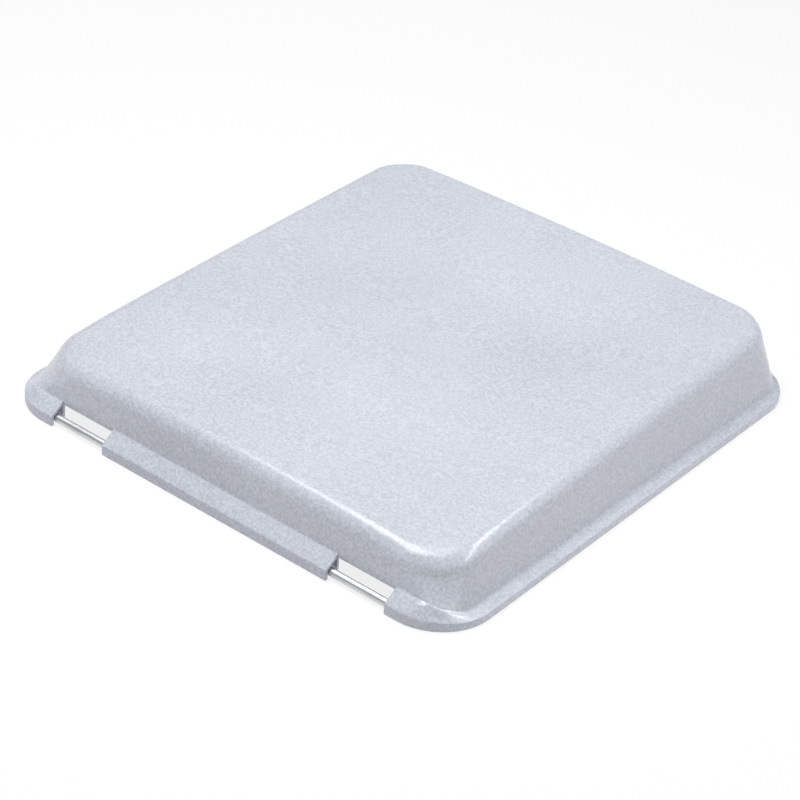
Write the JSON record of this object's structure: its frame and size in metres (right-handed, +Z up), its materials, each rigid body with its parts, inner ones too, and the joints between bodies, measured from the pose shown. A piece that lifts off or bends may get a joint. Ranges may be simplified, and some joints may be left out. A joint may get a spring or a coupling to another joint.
{
  "type": "roof vent cover",
  "caption": "Wedge-shaped domed lid for a caravan roof vent, with a hinge rod showing in two notches and a lift track underneath.",
  "frame": {"origin": "centre of the lid's footprint, on the plane its lip stands on", "axes": "+Z up out of the dome; the hinge rod lies along X on the -Y side"},
  "size_m": [0.406, 0.426, 0.0568],
  "materials": {
    "lid_plastic": "satin white polypropylene",
    "zinc_steel": "zinc plated",
    "aluminium": "mill finish extrusion",
    "screw_steel": "bright plated",
    "black_nylon": "moulded nylon",
    "acetal": "natural acetal",
    "foam": "closed-cell foam tape"
  },
  "bodies": {
    "rod": {"hinge_rod": "zinc_steel"},
    "lid": {"lid_shell": "lid_plastic", "lift_track": "aluminium", "track_screw_1": "screw_steel", "track_screw_2": "screw_steel", "track_screw_3": "screw_steel", "track_screw_4": "screw_steel", "track_screw_5": "screw_steel", "track_screw_6": "screw_steel", "track_stop_front": "black_nylon", "track_stop_rear": "black_nylon", "seal_front": "foam", "seal_rear": "foam", "seal_left": "foam", "seal_right": "foam"},
    "slider": {"lift_slider": "acetal"},
    "pin": {"arm_pin": "zinc_steel", "arm_pin_clip": "screw_steel"}
  },
  "joints": [
    {"name": "lid_swing", "type": "hinge", "parent": "rod", "child": "lid", "pos_m": [0, -0.2069, 0.0041], "axis": [1, 0, 0], "range_deg": [0, 80]},
    {"name": "slider_travel", "type": "slide", "parent": "lid", "child": "slider", "axis": [0, 0.9996, 0.0299], "range_m": [-0.11, 0.11]},
    {"name": "arm_pin_turn", "type": "hinge", "parent": "slider", "child": "pin", "pos_m": [0, -0.0034, 0.02453], "axis": [1, 0, 0], "continuous": true}
  ]
}
